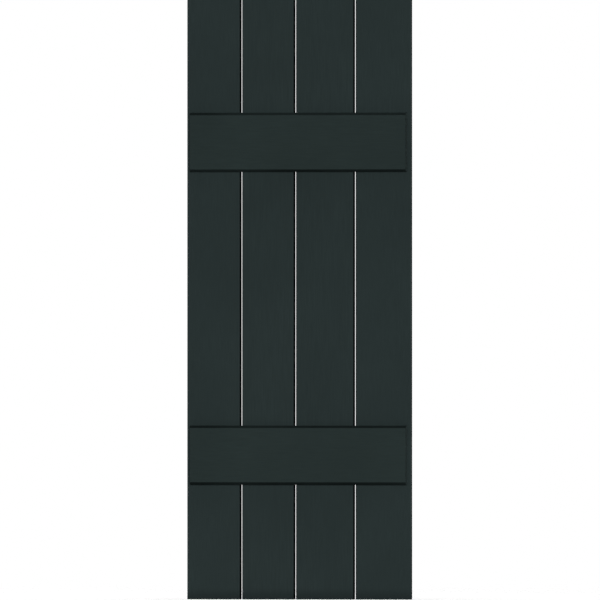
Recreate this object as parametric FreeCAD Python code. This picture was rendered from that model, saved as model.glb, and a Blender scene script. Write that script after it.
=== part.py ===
import FreeCAD, Part
import math
import os

# Board and batten window shutter, in millimetres.
# The backs of the boards lie in the plane y = 0, which bears on the wall.
# The front faces -Y and +Z is up. The origin is on the back plane, at mid width and mid height.

# Upright boards and the open gaps between them, from left to right as seen from the front
SHUTTER_HEIGHT = 1016.0
BOARD_THICKNESS = 19.0
LEFT_BOARD_WIDTH = 90.4
LEFT_GAP = 3.2
CENTRE_LEFT_BOARD_WIDTH = 88.6
CENTRE_GAP = 3.2
CENTRE_RIGHT_BOARD_WIDTH = 98.4
RIGHT_GAP = 3.2
RIGHT_BOARD_WIDTH = 94.0
BOARD_BEVEL = 1.0

# Battens across the front of the boards
BATTEN_HEIGHT = 100.0
BATTEN_THICKNESS = 19.0
BATTEN_SIDE_SETBACK = 6.4
UPPER_BATTEN_FROM_TOP = 193.7
LOWER_BATTEN_FROM_BOTTOM = 193.7
BATTEN_BEVEL = 4.0

# Countersunk wood screws, driven from the back through each board into the batten
SCREW_LENGTH = 32.0
SCREW_SHANK_DIAMETER = 4.2
SCREW_POINT_LENGTH = 6.0
SCREW_POINT_DIAMETER = 0.8
SCREW_HEAD_DIAMETER = 8.4
SCREW_HEAD_RIM = 0.5
SCREW_HEAD_CONE_HEIGHT = 2.1
SCREW_HEAD_SINK = 0.5
SCREW_HOLE_CLEARANCE = 0.2
SCREW_FROM_BOARD_EDGE = 25.0
SCREW_FROM_BATTEN_EDGE = 25.0
SCREW_SIDES = 24

# Cross recess in each screw's head
RECESS_SPAN = 4.6
RECESS_WIDTH = 1.1
RECESS_DEPTH = 1.8

BOARDS = (
    ("left_board", LEFT_BOARD_WIDTH, LEFT_GAP),
    ("centre_left_board", CENTRE_LEFT_BOARD_WIDTH, CENTRE_GAP),
    ("centre_right_board", CENTRE_RIGHT_BOARD_WIDTH, RIGHT_GAP),
    ("right_board", RIGHT_BOARD_WIDTH, 0.0),
)
SHUTTER_WIDTH = sum(width + gap for name, width, gap in BOARDS)
SHUTTER_TOP = SHUTTER_HEIGHT / 2
SHUTTER_BOTTOM = -SHUTTER_HEIGHT / 2
BATTENS = (
    ("upper_batten", SHUTTER_TOP - UPPER_BATTEN_FROM_TOP - BATTEN_HEIGHT),
    ("lower_batten", SHUTTER_BOTTOM + LOWER_BATTEN_FROM_BOTTOM),
)


def make_board(left, width):
    """An upright board with a small bevel along every edge."""
    corner = FreeCAD.Vector(left, -BOARD_THICKNESS, SHUTTER_BOTTOM)
    blank = Part.makeBox(width, BOARD_THICKNESS, SHUTTER_HEIGHT, corner)
    return blank.makeChamfer(BOARD_BEVEL, blank.Edges)


def make_batten(bottom):
    """A length of bevelled stock, cut off square at both ends: both long edges of its front are bevelled."""
    length = SHUTTER_WIDTH - 2 * BATTEN_SIDE_SETBACK
    front = -BOARD_THICKNESS - BATTEN_THICKNESS
    blank = Part.makeBox(length, BATTEN_THICKNESS, BATTEN_HEIGHT, FreeCAD.Vector(-length / 2, front, bottom))
    level_edges = [edge for edge in blank.Edges if edge.BoundBox.ZLength < BATTEN_BEVEL]
    long_front_edges = [edge for edge in level_edges if edge.BoundBox.YMax < front + BATTEN_BEVEL]
    return blank.makeChamfer(BATTEN_BEVEL, long_front_edges)


def ring(radius, depth, x, z):
    """The corners of a many-sided ring about a screw's axis; depth runs in from the top of the head."""
    corners = []
    for side in range(SCREW_SIDES):
        turn = 2 * math.pi * side / SCREW_SIDES
        y = -SCREW_HEAD_SINK - depth
        corners.append(FreeCAD.Vector(x + radius * math.cos(turn), y, z + radius * math.sin(turn)))
    return corners


def turned(outline, x, z):
    """A solid through rings of the given radii and depths, with flat sides that keep the many screws light."""
    rings = [ring(radius, depth, x, z) for radius, depth in outline]
    loops = [rings[0], rings[-1]]
    for upper, lower in zip(rings, rings[1:]):
        for side in range(SCREW_SIDES):
            loops.append([upper[side - 1], upper[side], lower[side], lower[side - 1]])
    shell = Part.makeShell([Part.Face(Part.makePolygon(loop + loop[:1])) for loop in loops])
    shell.sewShape()
    return Part.makeSolid(shell)


def head_depth(radius):
    """How deep under the head's top its cone has narrowed to the given radius."""
    head_radius = SCREW_HEAD_DIAMETER / 2
    narrowing = (head_radius - radius) / (head_radius - SCREW_SHANK_DIAMETER / 2)
    return SCREW_HEAD_RIM + SCREW_HEAD_CONE_HEIGHT * narrowing


def screw_blank(x, z):
    """A screw before its head is recessed; the batten is bored to the same form."""
    head_radius = SCREW_HEAD_DIAMETER / 2
    shank_radius = SCREW_SHANK_DIAMETER / 2
    outline = (
        (head_radius, 0.0),
        (head_radius, SCREW_HEAD_RIM),
        (shank_radius, head_depth(shank_radius)),
        (shank_radius, SCREW_LENGTH - SCREW_POINT_LENGTH),
        (SCREW_POINT_DIAMETER / 2, SCREW_LENGTH),
    )
    return turned(outline, x, z)


def screw_seat(x, z):
    """The countersunk clearance hole in a board, open at the back, whose cone carries the screw's head."""
    head_radius = SCREW_HEAD_DIAMETER / 2
    hole_radius = SCREW_SHANK_DIAMETER / 2 + SCREW_HOLE_CLEARANCE
    outline = (
        (head_radius, -SCREW_HEAD_SINK),
        (head_radius, SCREW_HEAD_RIM),
        (hole_radius, head_depth(hole_radius)),
        (hole_radius, BOARD_THICKNESS),
    )
    return turned(outline, x, z)


def make_screw(x, z):
    """A finished screw: two crossing slots are sunk into the head for the driver."""
    floor = -SCREW_HEAD_SINK - RECESS_DEPTH
    level_corner = FreeCAD.Vector(x - RECESS_SPAN / 2, floor, z - RECESS_WIDTH / 2)
    upright_corner = FreeCAD.Vector(x - RECESS_WIDTH / 2, floor, z - RECESS_SPAN / 2)
    level_slot = Part.makeBox(RECESS_SPAN, RECESS_DEPTH, RECESS_WIDTH, level_corner)
    upright_slot = Part.makeBox(RECESS_WIDTH, RECESS_DEPTH, RECESS_SPAN, upright_corner)
    return screw_blank(x, z).cut(level_slot.fuse(upright_slot))


def screw_places(board_left, board_right, batten_bottom):
    """The two screws that join a board to a batten, on a slant so that they don't share a line of grain."""
    return (
        (board_left + SCREW_FROM_BOARD_EDGE, batten_bottom + BATTEN_HEIGHT - SCREW_FROM_BATTEN_EDGE),
        (board_right - SCREW_FROM_BOARD_EDGE, batten_bottom + SCREW_FROM_BATTEN_EDGE),
    )


nodes = {}
places = {batten: [] for batten, bottom in BATTENS}
left = -SHUTTER_WIDTH / 2
for board, width, gap in BOARDS:
    seats = []
    for batten, bottom in BATTENS:
        for x, z in screw_places(left, left + width, bottom):
            seats.append(screw_seat(x, z))
            places[batten].append((x, z))
    nodes[board] = make_board(left, width).cut(seats)
    left += width + gap

for batten, bottom in BATTENS:
    nodes[batten] = make_batten(bottom).cut([screw_blank(x, z) for x, z in places[batten]])
    for number, (x, z) in enumerate(places[batten], start=1):
        nodes[f"{batten}_screw_{number}"] = make_screw(x, z)

os.makedirs("parts", exist_ok=True)
for name, shape in nodes.items():
    shape.exportStep(f"parts/{name}.step")
    print(name, "solids", len(shape.Solids), "valid", shape.isValid(), "volume", round(shape.Volume, 1))
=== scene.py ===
# %% [markdown]
# # A board and batten shutter
# The real shutter is four upright boards with open gaps between them. Two battens cross the front and
# hold the boards together, with screws driven from the back.
# The solid of every piece is already in one shared frame, in metres: the back lies on y = 0, the front
# faces -Y and +Z is up. This lesson keeps those places and sizes, and gives each piece the eased edges
# and the finish of the real thing.

# %% Load the solids
import math
import bmesh
import bpy
from mathutils import Matrix, Vector


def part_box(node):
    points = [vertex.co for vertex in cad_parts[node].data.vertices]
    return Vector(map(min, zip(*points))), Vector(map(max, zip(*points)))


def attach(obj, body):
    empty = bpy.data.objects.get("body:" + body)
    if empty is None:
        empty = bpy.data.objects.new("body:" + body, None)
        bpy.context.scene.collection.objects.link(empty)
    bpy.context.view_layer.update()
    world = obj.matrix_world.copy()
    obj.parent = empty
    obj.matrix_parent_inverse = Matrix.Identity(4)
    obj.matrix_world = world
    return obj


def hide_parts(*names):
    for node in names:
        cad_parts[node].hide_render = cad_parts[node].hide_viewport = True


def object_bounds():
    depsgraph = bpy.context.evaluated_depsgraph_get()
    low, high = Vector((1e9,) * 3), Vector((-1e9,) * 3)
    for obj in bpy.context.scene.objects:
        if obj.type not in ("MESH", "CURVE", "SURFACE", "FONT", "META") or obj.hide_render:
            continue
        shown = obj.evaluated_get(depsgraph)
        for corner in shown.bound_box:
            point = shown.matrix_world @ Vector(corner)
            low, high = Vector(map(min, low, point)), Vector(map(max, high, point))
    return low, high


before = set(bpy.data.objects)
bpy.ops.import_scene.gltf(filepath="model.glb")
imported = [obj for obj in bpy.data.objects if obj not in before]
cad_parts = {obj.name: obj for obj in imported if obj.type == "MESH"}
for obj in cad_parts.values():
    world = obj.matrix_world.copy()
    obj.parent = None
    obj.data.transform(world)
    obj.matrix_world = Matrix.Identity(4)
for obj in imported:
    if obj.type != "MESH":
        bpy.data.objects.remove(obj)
cad_low, cad_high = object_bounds()
scene = bpy.context.scene
scene.view_settings.view_transform = "Standard"
print("solids", len(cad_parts), "box", [round(side, 4) for side in cad_high - cad_low])

# %% [markdown]
# ## The viewpoint
# The shutter's edges are upright and level in the picture, so it is seen from far off, at mid height. Each
# gap shows a dark wall on its left and white behind it, so the camera stands a few degrees to the right.
# It could stand near by, with a shifted lens to keep the edges upright. A long lens from far away does the
# same with no shift, and its distance follows from how many metres the picture spans.

# %% Viewpoint
PICTURE_SPAN = 1.0137
PICTURE_MIDDLE = Vector((0.00175, -0.019, -0.0021))
SEEN_FROM_RIGHT = math.radians(7.5)
LENS = 1500.0
SENSOR = 36.0

lens_body = bpy.data.cameras.new("viewpoint")
lens_body.lens = LENS
lens_body.sensor_width = SENSOR
viewpoint = bpy.data.objects.new("viewpoint", lens_body)
viewpoint.rotation_euler = (math.pi / 2, 0.0, SEEN_FROM_RIGHT)
stand_off = PICTURE_SPAN * LENS / SENSOR
backwards = Vector((math.sin(SEEN_FROM_RIGHT), -math.cos(SEEN_FROM_RIGHT), 0.0))
viewpoint.location = PICTURE_MIDDLE + backwards * stand_off
scene.collection.objects.link(viewpoint)
scene.camera = viewpoint
print("viewpoint", [round(part, 3) for part in viewpoint.location])

# %% [markdown]
# ## The lamps
# The front is lit evenly, with hardly a shadow. A big lamp near by could do that, but it would light the
# middle more than the ends. So the main lamp stands far off, in the camera's direction and a little higher,
# and leaves only a thin dark line under each batten. The lamps at both sides stand behind the plane of the
# front, where they light the shutter's edges and can't graze its face. The right one is weaker, because
# the right edge is nearly black in the picture. One lamp above lights the tops, and two behind light the
# back. No lamp shows in glossy finishes, because its glare would bleach the steel of the screws.

# %% Lamps
FRONT_DISTANCE = 20.0
FRONT_RISE = 1.0
FRONT_SIZE = 2.0
FRONT_WATTS = 4000.0
FILL_SIZE = 1.4
LEFT_PLACE = (-4.0, 0.75, 0.0)
LEFT_WATTS = 150.0
RIGHT_PLACE = (4.0, 0.75, 0.0)
RIGHT_WATTS = 85.0
TOP_PLACE = (0.0, -0.4, 4.0)
TOP_WATTS = 80.0
BACK_LEFT_PLACE = (-2.5, 4.5, 0.6)
BACK_RIGHT_PLACE = (2.5, 4.5, 0.6)
BACK_WATTS = 80.0


def softbox(name, place, size, watts):
    """A square soft lamp that faces the middle of the shutter."""
    lamp_data = bpy.data.lights.new(name, "AREA")
    lamp_data.shape = "SQUARE"
    lamp_data.size = size
    lamp_data.energy = watts
    lamp = bpy.data.objects.new(name, lamp_data)
    lamp.location = place
    lamp.rotation_euler = Vector(place).to_track_quat("Z", "Y").to_euler()
    lamp.visible_camera = False
    lamp.visible_glossy = False
    scene.collection.objects.link(lamp)
    print("softbox", name, "watts", watts)


front_place = backwards * FRONT_DISTANCE + Vector((0.0, 0.0, FRONT_RISE))
softbox("front_softbox", front_place, FRONT_SIZE, FRONT_WATTS)
softbox("left_softbox", LEFT_PLACE, FILL_SIZE, LEFT_WATTS)
softbox("right_softbox", RIGHT_PLACE, FILL_SIZE, RIGHT_WATTS)
softbox("top_softbox", TOP_PLACE, FILL_SIZE, TOP_WATTS)
softbox("back_left_softbox", BACK_LEFT_PLACE, FILL_SIZE, BACK_WATTS)
softbox("back_right_softbox", BACK_RIGHT_PLACE, FILL_SIZE, BACK_WATTS)

# %% [markdown]
# ## Helpers for nodes
# A finish is a small graph of nodes. It could be wired by hand, node by node, but then every finish would
# repeat the same lines. Four helpers keep the cells below short: one adds a node, one sets or links an
# input, one does a sum and one moves a value from one range to another.

# %% Node helpers
def add_node(tree, kind, **settings):
    """A new node with the given settings."""
    node = tree.nodes.new(kind)
    for name, value in settings.items():
        setattr(node, name, value)
    return node


def feed(tree, socket, source):
    """Links the source if it is another node's output, and otherwise writes it as a value."""
    if isinstance(source, bpy.types.NodeSocket):
        tree.links.new(source, socket)
    else:
        socket.default_value = source


def work_out(tree, operation, first, second=0.0):
    """The result of a sum on two inputs."""
    node = add_node(tree, "ShaderNodeMath", operation=operation)
    feed(tree, node.inputs[0], first)
    feed(tree, node.inputs[1], second)
    return node.outputs[0]


def rescale(tree, source, low, high, new_low, new_high):
    """The source moved smoothly from one range to another."""
    node = add_node(tree, "ShaderNodeMapRange", interpolation_type="SMOOTHSTEP")
    for socket, value in zip(node.inputs, (source, low, high, new_low, new_high)):
        feed(tree, socket, value)
    return node.outputs[0]


print("node helpers ready")

# %% [markdown]
# ## The white surround
# The shutter is seen against plain white. A white world that lit the shutter would wash out its dark
# paint, so the world has two strengths: a dim one that lights, and white for what the camera sees. Glossy
# and see-through finishes see the white too, so steel and satin paint mirror the same surround.

# %% White surround
SURROUND_LIGHT = 0.05
WHITE = (1.0, 1.0, 1.0, 1.0)

surround = bpy.data.worlds.new("surround")
surround.use_nodes = True
scene.world = surround
air = surround.node_tree
air.nodes.clear()
light_path = add_node(air, "ShaderNodeLightPath")
glossy = light_path.outputs["Is Glossy Ray"]
through = light_path.outputs["Is Transmission Ray"]
mirrored = work_out(air, "MAXIMUM", glossy, through)
sees_white = work_out(air, "MAXIMUM", light_path.outputs["Is Camera Ray"], mirrored)
dim = add_node(air, "ShaderNodeBackground")
dim.inputs["Color"].default_value = WHITE
dim.inputs["Strength"].default_value = SURROUND_LIGHT
bright = add_node(air, "ShaderNodeBackground")
bright.inputs["Color"].default_value = WHITE
bright.inputs["Strength"].default_value = 1.0
either = add_node(air, "ShaderNodeMixShader")
feed(air, either.inputs[0], sees_white)
feed(air, either.inputs[1], dim.outputs[0])
feed(air, either.inputs[2], bright.outputs[0])
air_out = add_node(air, "ShaderNodeOutputWorld")
feed(air, air_out.inputs["Surface"], either.outputs[0])
print("surround lights at", SURROUND_LIGHT)

# %% [markdown]
# ## The floor
# The shutter stands on a pale floor that keeps its shadow. A wide white plane would show its far edge as a
# horizon. So the floor is a disc that lets the white surround through and adds a little diffuse light of its
# own: it is white where it is lit and faintly grey in the shadow, and both fade out towards the rim.

# %% Floor finish
FLOOR_RADIUS = 2.2
FLOOR_FADES_FROM = 0.5
FLOOR_SEEN_THROUGH = 0.6
FLOOR_PALE = 0.52

floor_finish = bpy.data.materials.new("pale_floor")
floor_finish.use_nodes = True
floor_tree = floor_finish.node_tree
floor_tree.nodes.clear()
spot = add_node(floor_tree, "ShaderNodeTexCoord")
reach = add_node(floor_tree, "ShaderNodeVectorMath", operation="LENGTH")
feed(floor_tree, reach.inputs[0], spot.outputs["Object"])
far_off = rescale(floor_tree, reach.outputs["Value"], FLOOR_FADES_FROM, FLOOR_RADIUS, 0.0, 1.0)
seen_through = rescale(floor_tree, far_off, 0.0, 1.0, FLOOR_SEEN_THROUGH, 1.0)
own_shade = rescale(floor_tree, far_off, 0.0, 1.0, FLOOR_PALE, 0.0)
clear_part = add_node(floor_tree, "ShaderNodeBsdfTransparent")
feed(floor_tree, clear_part.inputs["Color"], seen_through)
pale_part = add_node(floor_tree, "ShaderNodeBsdfDiffuse")
feed(floor_tree, pale_part.inputs["Color"], own_shade)
both_parts = add_node(floor_tree, "ShaderNodeAddShader")
feed(floor_tree, both_parts.inputs[0], clear_part.outputs[0])
feed(floor_tree, both_parts.inputs[1], pale_part.outputs[0])
floor_out = add_node(floor_tree, "ShaderNodeOutputMaterial")
feed(floor_tree, floor_out.inputs["Surface"], both_parts.outputs[0])
print("finish", floor_finish.name)

# %% [markdown]
# ## The floor's disc
# A square floor would bring its corners into slanted views. A disc has the same reach on every side. It lies
# a hair under the boards, so that no two faces share one plane.

# %% Floor
FLOOR_DROP = 0.0005
FLOOR_SIDES = 128

disc = bmesh.new()
bmesh.ops.create_circle(disc, cap_ends=True, radius=FLOOR_RADIUS, segments=FLOOR_SIDES)
floor_mesh = bpy.data.meshes.new("floor")
disc.to_mesh(floor_mesh)
disc.free()
floor_mesh.materials.append(floor_finish)
floor = bpy.data.objects.new("floor", floor_mesh)
floor.location.z = cad_low.z - FLOOR_DROP
scene.collection.objects.link(floor)
print("floor", FLOOR_RADIUS, "m radius at z", round(floor.location.z, 4))

# %% [markdown]
# ## Places and noise
# Every finish below is drawn in space, from a point's place in the shutter. Patterns could be laid on the
# faces as flat pictures, but those would break at each edge. A few more helpers are needed for that: soft
# noise, values that a piece carries on its mesh, sums on vectors and the distance from a line.

# %% Noise and places
NOISE_LOW = 0.3
NOISE_HIGH = 0.7


def noise(tree, place, scale, detail):
    """Soft noise from 0 to 1."""
    node = add_node(tree, "ShaderNodeTexNoise")
    feed(tree, node.inputs["Vector"], place)
    node.inputs["Scale"].default_value = scale
    node.inputs["Detail"].default_value = detail
    return node.outputs[0]


def spread(tree, source, low, high):
    """Noise keeps to the middle of its range, and this spreads that middle over a new range."""
    return rescale(tree, source, NOISE_LOW, NOISE_HIGH, low, high)


def written(tree, name, output):
    """A value that a piece carries on its mesh."""
    return add_node(tree, "ShaderNodeAttribute", attribute_name=name).outputs[output]


def vector_sum(tree, operation, first, second):
    """The result of a sum on two vectors."""
    node = add_node(tree, "ShaderNodeVectorMath", operation=operation)
    feed(tree, node.inputs[0], first)
    feed(tree, node.inputs[1], second)
    return node.outputs["Vector"]


def by_axis(along, on_axis, off_axis):
    """One number for each axis, with a value of its own on the given one."""
    return [on_axis if axis == along else off_axis for axis in "XYZ"]


def distance_from(tree, offset, along):
    """How far an offset leads away from a line along the given axis."""
    flat = vector_sum(tree, "MULTIPLY", offset, by_axis(along, 0.0, 1.0))
    length = add_node(tree, "ShaderNodeVectorMath", operation="LENGTH")
    feed(tree, length.inputs[0], flat)
    return length.outputs["Value"]


print("noise is used from", NOISE_LOW, "to", NOISE_HIGH)

# %% [markdown]
# ## The grain under the paint
# Each piece is sawn softwood. Its growth rings run round the heart of the log, so they are drawn from the
# distance to a line along the grain, bent a little by slow noise. Fibres are noise drawn out along the
# grain. One pattern for all pieces would repeat from board to board, so each piece carries its own heart
# line as an attribute, as boards from different logs do.

# %% Grain
RING_SPACING = 0.0055
RING_WANDER = 0.012
WANDER_SCALE = 9.0
WANDER_STRETCH = 0.12
WANDER_DETAIL = 2.0
FIBRE_SCALE = 1100.0
FIBRE_STRETCH = 0.03
FINE_DETAIL = 3.0
MM = 1000.0


def grain(tree, along):
    """The place in the wood, and its rings and fibres, each from 0 to 1, with the grain along an axis."""
    place = add_node(tree, "ShaderNodeTexCoord").outputs["Object"]
    from_heart = vector_sum(tree, "SUBTRACT", place, written(tree, "heart", "Vector"))
    slow = vector_sum(tree, "MULTIPLY", from_heart, by_axis(along, WANDER_STRETCH, 1.0))
    wander = work_out(tree, "MULTIPLY", noise(tree, slow, WANDER_SCALE, WANDER_DETAIL), RING_WANDER)
    radius = work_out(tree, "ADD", distance_from(tree, from_heart, along), wander)
    turn = work_out(tree, "MULTIPLY", radius, 2 * math.pi / RING_SPACING)
    rings = rescale(tree, work_out(tree, "SINE", turn), -1.0, 1.0, 0.0, 1.0)
    drawn_out = vector_sum(tree, "MULTIPLY", from_heart, by_axis(along, FIBRE_STRETCH, 1.0))
    fibres = noise(tree, drawn_out, FIBRE_SCALE, FINE_DETAIL)
    return place, rings, fibres


print("rings every", RING_SPACING * MM, "mm")

# %% [markdown]
# ## Colour and relief
# Colour is blended from a few shades of one paint or one metal, so a finish keeps its tone. Relief this
# fine could be cut into the mesh, but it would need millions of faces. A bump tilts the light instead.

# %% Colour and relief
MIX_FIRST = 6
MIX_SECOND = 7
MIX_RESULT = 2


def blend(tree, share, first, second):
    """A colour between two others; the mix node keeps its colours at numbered sockets."""
    node = add_node(tree, "ShaderNodeMix", data_type="RGBA")
    feed(tree, node.inputs[0], share)
    feed(tree, node.inputs[MIX_FIRST], first)
    feed(tree, node.inputs[MIX_SECOND], second)
    return node.outputs[MIX_RESULT]


def shade(colour, strength):
    """The colour made darker or lighter, as four numbers for a socket."""
    return (*[part * strength for part in colour], 1.0)


def new_finish(name):
    """A new material, its node tree and its shader."""
    finish = bpy.data.materials.new(name)
    finish.use_nodes = True
    print("finish", name)
    return finish, finish.node_tree, finish.node_tree.nodes["Principled BSDF"]


def emboss(tree, shader, height):
    """Lets a height in metres tilt the light on the surface."""
    bump = add_node(tree, "ShaderNodeBump")
    bump.inputs["Strength"].default_value = 1.0
    bump.inputs["Distance"].default_value = 1.0
    feed(tree, bump.inputs["Height"], height)
    feed(tree, shader.inputs["Normal"], bump.outputs["Normal"])


print("colour and relief helpers ready")

# %% [markdown]
# ## The colour of the coat
# The shutter has a dark, slightly green paint, very even from a distance. One flat colour would do for that
# view, but close up a painted board is never one colour. The coat is thicker here and thinner there, brush
# marks follow the grain, eased edges are rubbed lighter, the ends soak it up, and the colour gets darker
# towards the bottom. Those are small steps of shade around the same colour, laid over each other.

# %% Colour of the coat
COAT_SCALE = 7.0
THICK_COAT = 0.94
THIN_COAT = 1.06
STREAK_SHADE = 0.78
STREAK_SHARE = 0.6
RUBBED_SHADE = 1.6
RUBBED_SHARE = 0.6
SOAKED_SHADE = 0.75
SOAKED_SHARE = 0.7
FOOT_HEIGHT = 0.022
FOOT_SHADE = 0.66


def paint_colour(tree, place, fibres, colour):
    """The colour of the coat, from the even film to the rubbed edges, the soaked ends and the darker bottom.
    """
    coat = noise(tree, place, COAT_SCALE, FINE_DETAIL)
    film = blend(tree, spread(tree, coat, 0.0, 1.0), shade(colour, THICK_COAT), shade(colour, THIN_COAT))
    streaked = blend(tree, spread(tree, fibres, 0.0, STREAK_SHARE), film, shade(colour, STREAK_SHADE))
    thin = spread(tree, coat, 0.0, RUBBED_SHARE)
    rubbed = work_out(tree, "MULTIPLY", written(tree, "arris", "Fac"), thin)
    worn = blend(tree, rubbed, streaked, shade(colour, RUBBED_SHADE))
    soak = work_out(tree, "MULTIPLY", written(tree, "end_grain", "Fac"), SOAKED_SHARE)
    soaked = blend(tree, soak, worn, shade(colour, SOAKED_SHADE))
    # the last FOOT_HEIGHT above the bottom is darkened towards the bottom edge
    parts = add_node(tree, "ShaderNodeSeparateXYZ")
    feed(tree, parts.inputs[0], place)
    foot = rescale(tree, parts.outputs["Z"], cad_low.z, cad_low.z + FOOT_HEIGHT, 1.0, 0.0)
    return blend(tree, foot, soaked, shade(colour, FOOT_SHADE))


print("darker bottom", FOOT_HEIGHT * MM, "mm high")

# %% [markdown]
# ## The paint
# Satin paint shines softly, more along the brush marks and not at all on the ends. One roughness for the
# whole board would look like plastic, so it follows the fibres. Rings and fibres also stand up through the
# film by a few hundredths of a millimetre, and the film itself is faintly dimpled.

# %% Paint
BOARD_COLOUR = (0.0182, 0.0264, 0.0263)
BATTEN_COLOUR = (0.0170, 0.0250, 0.0243)
SATIN_ROUGHNESS = 0.45
PAINT_SHEEN = 0.02
BRUSHED_SPREAD = 0.05
END_DULLNESS = 0.45
PEEL_SCALE = 900.0
PEEL_DETAIL = 1.0
PEEL_RELIEF = 0.000006
RING_RELIEF = 0.00005
FIBRE_RELIEF = 0.00005


def painted_wood(name, along, colour, roughness, sheen):
    """Paint over wood whose grain runs along the given axis."""
    finish, tree, shader = new_finish(name)
    place, rings, fibres = grain(tree, along)
    feed(tree, shader.inputs["Base Color"], paint_colour(tree, place, fibres, colour))
    brushed = spread(tree, fibres, roughness - BRUSHED_SPREAD, roughness + BRUSHED_SPREAD)
    dullness = work_out(tree, "MULTIPLY", written(tree, "end_grain", "Fac"), END_DULLNESS)
    feed(tree, shader.inputs["Roughness"], work_out(tree, "ADD", brushed, dullness))
    shader.inputs["Specular IOR Level"].default_value = sheen
    peel = noise(tree, place, PEEL_SCALE, PEEL_DETAIL)
    ring_height = work_out(tree, "MULTIPLY", rings, RING_RELIEF)
    fibre_height = work_out(tree, "MULTIPLY", fibres, FIBRE_RELIEF)
    peel_height = work_out(tree, "MULTIPLY", peel, PEEL_RELIEF)
    wood_height = work_out(tree, "ADD", ring_height, fibre_height)
    emboss(tree, shader, work_out(tree, "ADD", wood_height, peel_height))
    return finish


board_paint = painted_wood("board_paint", "Z", BOARD_COLOUR, SATIN_ROUGHNESS, PAINT_SHEEN)
batten_paint = painted_wood("batten_paint", "X", BATTEN_COLOUR, SATIN_ROUGHNESS, PAINT_SHEEN)

# %% [markdown]
# ## The paint and the painted shade on the edges
# Sawn edges soak up paint and lose its gloss, so the outer sides, the tops and the bottoms are the same
# colour with no sheen. The walls of the gaps and the bevels of the battens get painted shade: much darker
# copies of the paint that stand in for the shade there, and show as thin dark lines. Weaker lamps could not
# draw those lines without darkening the faces too, so the painted shade is a finish of its own.

# %% Paint and painted shade on the edges
PAINTED_GAP_SHADE = 0.2
PAINTED_BEVEL_SHADE = 0.36
FLAT_ROUGHNESS = 0.85
NO_SHEEN = 0.0

# painted shade: the gap walls and the batten bevels get darker copies of the paint colour
painted_gap_shade_colour = [part * PAINTED_GAP_SHADE for part in BOARD_COLOUR]
painted_bevel_shade_colour = [part * PAINTED_BEVEL_SHADE for part in BATTEN_COLOUR]
board_side_paint = painted_wood("board_side_paint", "Z", BOARD_COLOUR, FLAT_ROUGHNESS, NO_SHEEN)
board_gap_painted_shade = painted_wood("board_gap_painted_shade", "Z", painted_gap_shade_colour, FLAT_ROUGHNESS, NO_SHEEN)
batten_side_paint = painted_wood("batten_side_paint", "X", BATTEN_COLOUR, FLAT_ROUGHNESS, NO_SHEEN)
batten_bevel_painted_shade = painted_wood("batten_bevel_painted_shade", "X", painted_bevel_shade_colour, FLAT_ROUGHNESS, NO_SHEEN)

# %% [markdown]
# ## Bare wood in the countersinks
# The holes are countersunk after painting, so a thin ring of bare softwood shows round each screw's head.
# It could be one brown, but the same rings and fibres as under the paint make it part of the same board.

# %% Bare wood
EARLY_WOOD = (0.47, 0.30, 0.16, 1.0)
LATE_WOOD = (0.33, 0.18, 0.085, 1.0)
FIBRE_WOOD = (0.24, 0.13, 0.06, 1.0)
FIBRE_SHARE = 0.5
SMOOTH_WOOD = 0.7
ROUGH_WOOD = 0.9


def bare_softwood(name, along):
    """Unpainted softwood: pale early wood, darker rings and fine fibres."""
    finish, tree, shader = new_finish(name)
    place, rings, fibres = grain(tree, along)
    ringed = blend(tree, rings, EARLY_WOOD, LATE_WOOD)
    fibrous = blend(tree, spread(tree, fibres, 0.0, FIBRE_SHARE), ringed, FIBRE_WOOD)
    feed(tree, shader.inputs["Base Color"], fibrous)
    feed(tree, shader.inputs["Roughness"], spread(tree, fibres, SMOOTH_WOOD, ROUGH_WOOD))
    return finish


softwood = bare_softwood("bare_softwood", "Z")

# %% [markdown]
# ## The screws' steel
# Stainless screws are turned, so their heads carry fine rings round the middle. The rings could be cut into
# the mesh, but they are only a few hairs apart. So each screw carries the place of its own axis, and a sine
# of the distance from it tilts the light. The same sine paints pale and dark rings into the steel's colour,
# a painted sheen that stands in for the glint of the rings.

# %% Steel
TURNING_SPACING = 0.00022
TURNING_RELIEF = 0.000004
PAINTED_TURNING_SHEEN = 0.35
CLOUD_SCALE = 420.0
DARK_STEEL = (0.46, 0.45, 0.43, 1.0)
PALE_STEEL = (0.62, 0.61, 0.59, 1.0)
BRIGHT_ROUGHNESS = 0.26
DULL_ROUGHNESS = 0.42


def turned_steel(name):
    """Stainless steel with fine turning marks, a painted sheen along them and slightly uneven gloss."""
    finish, tree, shader = new_finish(name)
    place = add_node(tree, "ShaderNodeTexCoord").outputs["Object"]
    from_axis = vector_sum(tree, "SUBTRACT", place, written(tree, "axis", "Vector"))
    turn = work_out(tree, "MULTIPLY", distance_from(tree, from_axis, "Y"), 2 * math.pi / TURNING_SPACING)
    marks = work_out(tree, "SINE", turn)
    cloudy = noise(tree, place, CLOUD_SCALE, FINE_DETAIL)
    # painted sheen: the turning rings make the steel's colour paler and darker, on top of its random cloudy
    # tone
    cloud_and_painted_sheen = work_out(tree, "ADD", cloudy, work_out(tree, "MULTIPLY", marks, PAINTED_TURNING_SHEEN))
    feed(tree, shader.inputs["Base Color"], blend(tree, cloud_and_painted_sheen, DARK_STEEL, PALE_STEEL))
    shader.inputs["Metallic"].default_value = 1.0
    feed(tree, shader.inputs["Roughness"], spread(tree, cloudy, BRIGHT_ROUGHNESS, DULL_ROUGHNESS))
    emboss(tree, shader, work_out(tree, "MULTIPLY", marks, TURNING_RELIEF))
    return finish


screw_steel = turned_steel("screw_steel")

# %% [markdown]
# ## Blocks and bevels
# Boards and battens both start as sawn blocks whose edges are worked afterwards. Their corners could be
# typed in, but a cube that is stretched to a solid's box is sure to fit it. Every piece is modelled in
# place, so its object can stay at the origin, unturned and unscaled.

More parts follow.
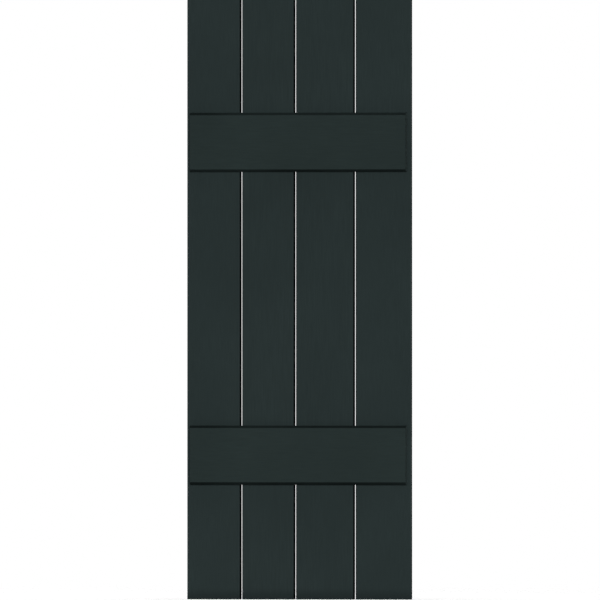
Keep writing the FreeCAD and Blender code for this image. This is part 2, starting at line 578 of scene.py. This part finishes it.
# %% Blocks and bevels
def block(node):
    """A block that fills the box of a solid."""
    low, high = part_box(node)
    shape = bmesh.new()
    bmesh.ops.create_cube(shape, size=1.0)
    bmesh.ops.scale(shape, vec=high - low, verts=shape.verts)
    bmesh.ops.translate(shape, vec=(low + high) / 2, verts=shape.verts)
    return shape


def ease(shape, edges, width, steps):
    """Bevels the edges: one step makes a flat, and more make a round."""
    bmesh.ops.bevel(
        shape,
        geom=edges,
        offset=width,
        offset_type="OFFSET",
        affect="EDGES",
        segments=steps,
        profile=0.5,
        material=-1,
    )


def loose_object(name, shape, finishes):
    """An object at the origin with the modelled shape."""
    mesh = bpy.data.meshes.new(name)
    shape.to_mesh(mesh)
    shape.free()
    for finish in finishes:
        mesh.materials.append(finish)
    made = bpy.data.objects.new(name, mesh)
    scene.collection.objects.link(made)
    return made


print("blocks follow the boxes of", len(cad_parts), "solids")

# %% [markdown]
# ## Cuts
# Holes and recesses are cut as on the bench: a tool of the hole's own form is taken away from the piece. A
# round hole could be cut into a flat face by hand, edge by edge, but a Boolean does it in one step and
# keeps the face flat. The tool is thrown away afterwards.

# %% Cuts
def discard(made):
    """Removes an object that was only needed on the way, with its mesh."""
    mesh = made.data
    bpy.data.objects.remove(made)
    bpy.data.meshes.remove(mesh)


def cut(body, tool):
    """Takes the tool away from the body with a Boolean, and removes the tool."""
    boolean = body.modifiers.new("cut", "BOOLEAN")
    boolean.operation = "DIFFERENCE"
    boolean.solver = "EXACT"
    boolean.object = tool
    solved = body.evaluated_get(bpy.context.evaluated_depsgraph_get())
    carved = bpy.data.meshes.new_from_object(solved)
    body.modifiers.clear()
    blank = body.data
    body.data = carved
    bpy.data.meshes.remove(blank)
    carved.name = body.name
    discard(tool)


print("cuts ready")

# %% [markdown]
# ## Marks and hand-over
# The paint has to know where edges and ends are. The finish could work that out from the slope of the
# surface, but marks that each face carries are simpler to check. At the hand-over a piece gets smooth
# shading with true flats, joins the root and hides the solid that it stands for.

# %% Marks and hand-over
SHARP_ANGLE = math.radians(35)
FACING = 0.99


def mark_wood(piece, along, heart):
    """Writes the heart line, and which faces are eased edges and which are end grain."""
    shape = bmesh.new()
    shape.from_mesh(piece.data)
    heart_layer = shape.verts.layers.float_vector.new("heart")
    arris_layer = shape.faces.layers.float.new("arris")
    end_layer = shape.faces.layers.float.new("end_grain")
    for vert in shape.verts:
        vert[heart_layer] = heart
    for face in shape.faces:
        sides = [abs(part) for part in face.normal]
        face[arris_layer] = float(max(sides) < FACING)
        face[end_layer] = float(sides["XYZ".index(along)] > FACING)
    shape.to_mesh(piece.data)
    shape.free()


def hand_over(piece, node):
    """Smooth shading with true flats, and the piece's place in the frame."""
    for polygon in piece.data.polygons:
        polygon.use_smooth = True
    piece.data.set_sharp_from_angle(angle=SHARP_ANGLE)
    normals = piece.modifiers.new("true_flats", "WEIGHTED_NORMAL")
    normals.keep_sharp = True
    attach(piece, "root")
    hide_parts(node)
    print("piece", piece.name, "faces", len(piece.data.polygons))


print("edges sharper than", round(math.degrees(SHARP_ANGLE)), "degrees stay sharp")

# %% [markdown]
# ## The screws' places and sizes
# A screw's solid gives its axis, its length and its head. The pilot hole, the countersunk seat and the
# screw itself could each be drawn alone. All three are turned from the same few radii instead, like work
# on a lathe, so they fit each other.

# %% Screw sizes
SHANK_RADIUS = 0.0021
HEAD_RIM = 0.0005
HEAD_CONE = 0.0021
POINT_LENGTH = 0.006
POINT_RADIUS = 0.0004

screw_nodes = sorted(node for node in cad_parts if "screw" in node)
first_low, first_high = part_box(screw_nodes[0])
HEAD_RADIUS = (first_high.z - first_low.z) / 2
HEAD_TOP = first_high.y
SCREW_TIP = first_low.y
BOARD_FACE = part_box("left_board")[0].y


def screw_axis(node):
    """Where the screw's axis meets the plane y = 0."""
    low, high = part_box(node)
    return Vector(((low.x + high.x) / 2, 0.0, (low.z + high.z) / 2))


def within(node, place):
    """Whether a screw's axis passes through the solid's box."""
    low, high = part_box(node)
    return low.x < place.x < high.x and low.z < place.z < high.z


print("screws", len(screw_nodes), "length", round((HEAD_TOP - SCREW_TIP) * MM, 2), "mm")

# %% [markdown]
# ## Turned shapes and holes
# A drill and a lathe both make round things from one outline. Cylinders and cones could be stacked, but
# their seams would have to be joined, so an outline is spun once about the y axis. All holes of a piece are
# cut at once. Every wooden piece lists its finishes in one order: faces, painted shade, bare wood, sides.

# %% Turned shapes and holes
TURNED_STEPS = 48
SAME_POINT = 0.000001
FACE, EDGE, BARE, SIDE = range(4)


def turned(outline):
    """A shape turned about the y axis through points of the given radius and y."""
    shape = bmesh.new()
    verts = [shape.verts.new((radius, y, 0.0)) for radius, y in outline]
    edges = [shape.edges.new(pair) for pair in zip(verts, verts[1:])]
    bmesh.ops.spin(
        shape,
        geom=verts + edges,
        cent=(0.0, 0.0, 0.0),
        axis=(0.0, 1.0, 0.0),
        angle=2 * math.pi,
        steps=TURNED_STEPS,
        use_merge=True,
    )
    bmesh.ops.remove_doubles(shape, verts=shape.verts, dist=SAME_POINT)
    bmesh.ops.recalc_face_normals(shape, faces=shape.faces)
    return shape


def bore(piece, node, outline, finishes):
    """Cuts the same turned hole round every screw that passes through the solid; its walls are bare wood."""
    hole = turned(outline)
    for face in hole.faces:
        face.material_index = BARE
    pattern = loose_object("hole_pattern", hole, finishes)
    holes = bmesh.new()
    for place in (screw_axis(screw) for screw in screw_nodes):
        if within(node, place):
            before = len(holes.verts)
            holes.from_mesh(pattern.data)
            bmesh.ops.translate(holes, vec=place, verts=holes.verts[before:])
    discard(pattern)
    cut(piece, loose_object("holes", holes, finishes))


print("turned shapes have", TURNED_STEPS, "sides")

# %% [markdown]
# ## The boards
# A planed board has crisp faces and edges that were eased with a sanding block. It could be left as a plain
# block, but a sharp edge catches no light. Starting from a block, a four-step bevel on every edge gives
# the roundness. The countersunk seats are then bored from the back, a hair wider than the screws' heads.

# %% Boards
EASED_EDGE = 0.0010
EASED_STEPS = 4
OVERSHOOT = 0.002
SEAT_EASE = 0.0001
SEAT_CLEARANCE = 0.0002
TURNED_ASIDE = 0.1
BOARD_FINISHES = (board_paint, board_gap_painted_shade, softwood, board_side_paint)
BOARD_HEARTS = {
    "left_board": (-0.135, 0.052, 0.0),
    "centre_left_board": (-0.062, -0.084, 0.3),
    "centre_right_board": (0.071, 0.047, 0.7),
    "right_board": (0.118, -0.110, 1.1),
}
SEAT_OUTLINE = (
    (0.0, OVERSHOOT),
    (HEAD_RADIUS + SEAT_EASE, OVERSHOOT),
    (HEAD_RADIUS + SEAT_EASE, HEAD_TOP - HEAD_RIM),
    (SHANK_RADIUS + SEAT_CLEARANCE, HEAD_TOP - HEAD_RIM - HEAD_CONE),
    (SHANK_RADIUS + SEAT_CLEARANCE, BOARD_FACE - OVERSHOOT),
    (0.0, BOARD_FACE - OVERSHOOT),
)


def board_finish(face):
    """Satin on the front and back, dark painted shade on the walls of the gaps, flat paint on the outside.
    """
    in_gap = abs(face.calc_center_median().x) < cad_high.x - EASED_EDGE
    if abs(face.normal.y) > FACING:
        return FACE
    return EDGE if in_gap and abs(face.normal.x) > TURNED_ASIDE else SIDE


for node, heart in BOARD_HEARTS.items():
    shape = block(node)
    ease(shape, shape.edges[:], EASED_EDGE, EASED_STEPS)
    for face in shape.faces:
        face.material_index = board_finish(face)
    board = loose_object(f"{node}_painted", shape, BOARD_FINISHES)
    bore(board, node, SEAT_OUTLINE, BOARD_FINISHES)
    mark_wood(board, "Z", heart)
    hand_over(board, node)

# %% [markdown]
# ## The battens
# A batten is a length of stock with the two long edges of its front planed to a flat bevel. It lies square
# on the boards and its ends are cut square. The bevels could be drawn as an outline and pushed along, but a
# one-step bevel on two edges of a block is shorter. A second, very small bevel softens every line that
# doesn't lie on the boards, as paint does.

# %% Battens
FRONT_BEVEL = 0.0040
FRONT_STEPS = 1
SOFTENED_EDGE = 0.0004
SOFTENED_STEPS = 3
LONG_EDGE = 0.3
TOUCHING = 0.00001
BATTEN_FINISHES = (batten_paint, batten_bevel_painted_shade, softwood, batten_side_paint)
BATTEN_HEARTS = {
    "upper_batten": (0.0, 0.045, 0.25),
    "lower_batten": (0.5, -0.12, -0.28),
}
PILOT_OUTLINE = (
    (0.0, BOARD_FACE + OVERSHOOT),
    (SHANK_RADIUS, BOARD_FACE + OVERSHOOT),
    (SHANK_RADIUS, SCREW_TIP + POINT_LENGTH),
    (POINT_RADIUS, SCREW_TIP),
    (0.0, SCREW_TIP),
)


def batten_finish(face):
    """Satin on the front, the back and the ends, flat paint above and below, and dark painted shade on the
    bevels.
    """
    across, out, up = (abs(part) for part in face.normal)
    if max(across, out) > FACING:
        return FACE
    return SIDE if up > FACING else EDGE


for node, heart in BATTEN_HEARTS.items():
    shape = block(node)
    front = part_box(node)[0].y + TOUCHING
    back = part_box(node)[1].y - TOUCHING
    long_edges = [edge for edge in shape.edges if edge.calc_length() > LONG_EDGE]
    front_edges = [edge for edge in long_edges if all(vert.co.y < front for vert in edge.verts)]
    ease(shape, front_edges, FRONT_BEVEL, FRONT_STEPS)
    soft_edges = [edge for edge in shape.edges if any(vert.co.y < back for vert in edge.verts)]
    ease(shape, soft_edges, SOFTENED_EDGE, SOFTENED_STEPS)
    for face in shape.faces:
        face.material_index = batten_finish(face)
    batten = loose_object(f"{node}_painted", shape, BATTEN_FINISHES)
    bore(batten, node, PILOT_OUTLINE, BATTEN_FINISHES)
    mark_wood(batten, "X", heart)
    hand_over(batten, node)

# %% [markdown]
# ## The recess in a screw's head
# The driver's recess is a cross with sloping sides. Two crossing bars could cut it one after the other, but
# their walls overlap at the crossing, where a Boolean can leave small faces. So the tool is one cross: a
# small block with an arm drawn out of each side, narrowed at its floor.

# %% Recess
RECESS_SPAN = 0.0046
RECESS_WIDTH = 0.0011
RECESS_DEPTH = 0.0018
RECESS_TAPER = 0.45
RECESS_FLARE = 2.0 - RECESS_TAPER


def recess_cross():
    """A cross, half sunk into the head, with its full span at the head's top and a narrower floor."""
    cross = bmesh.new()
    bmesh.ops.create_cube(cross, size=1.0)
    bmesh.ops.scale(cross, vec=(RECESS_WIDTH, 2 * RECESS_DEPTH, RECESS_WIDTH), verts=cross.verts)
    sides = [face for face in cross.faces if abs(face.normal.y) < FACING]
    for side in sides:
        arm = side.normal * (RECESS_SPAN - RECESS_WIDTH) / 2
        drawn = bmesh.ops.extrude_discrete_faces(cross, faces=[side])
        bmesh.ops.translate(cross, vec=arm, verts=drawn["faces"][0].verts)
    floor_verts = [vert for vert in cross.verts if vert.co.y < 0.0]
    rim_verts = [vert for vert in cross.verts if vert.co.y > 0.0]
    bmesh.ops.scale(cross, vec=(RECESS_TAPER, 1.0, RECESS_TAPER), verts=floor_verts)
    bmesh.ops.scale(cross, vec=(RECESS_FLARE, 1.0, RECESS_FLARE), verts=rim_verts)
    bmesh.ops.translate(cross, vec=(0.0, HEAD_TOP, 0.0), verts=cross.verts)
    bmesh.ops.recalc_face_normals(cross, faces=cross.faces)
    return cross


print("recess", RECESS_SPAN * MM, "mm across")

# %% [markdown]
# ## The screws
# A screw has a flat head with a small rim chamfer, a cone, a shank and a point. All sixteen could be made
# one by one, but one pattern is turned, recessed and copied. Turning leaves a fan of thin triangles on the
# head, so flat neighbours are joined before the cut, or it would leave slivers. Each copy is turned by its
# own angle, because a driver never stops at the same place twice.

# %% Screws
RIM_CHAMFER = 0.0002
TURN_STEP = 2.4
SAME_PLANE = math.radians(1)
SCREW_OUTLINE = (
    (0.0, HEAD_TOP),
    (HEAD_RADIUS - RIM_CHAMFER, HEAD_TOP),
    (HEAD_RADIUS, HEAD_TOP - RIM_CHAMFER),
    (HEAD_RADIUS, HEAD_TOP - HEAD_RIM),
    (SHANK_RADIUS, HEAD_TOP - HEAD_RIM - HEAD_CONE),
    (SHANK_RADIUS, SCREW_TIP + POINT_LENGTH),
    (POINT_RADIUS, SCREW_TIP),
    (0.0, SCREW_TIP),
)

blank_screw = turned(SCREW_OUTLINE)
bmesh.ops.dissolve_limit(
    blank_screw,
    angle_limit=SAME_PLANE,
    verts=blank_screw.verts,
    edges=blank_screw.edges,
)
screw_pattern = loose_object("screw_pattern", blank_screw, (screw_steel,))
cut(screw_pattern, loose_object("cross", recess_cross(), (screw_steel,)))

for number, node in enumerate(screw_nodes):
    place = screw_axis(node)
    shape = bmesh.new()
    shape.from_mesh(screw_pattern.data)
    bmesh.ops.rotate(shape, matrix=Matrix.Rotation(TURN_STEP * number, 3, "Y"), verts=shape.verts)
    bmesh.ops.translate(shape, vec=place, verts=shape.verts)
    axis_layer = shape.verts.layers.float_vector.new("axis")
    for vert in shape.verts:
        vert[axis_layer] = place
    screw = loose_object(f"{node}_turned", shape, (screw_steel,))
    hand_over(screw, node)
discard(screw_pattern)
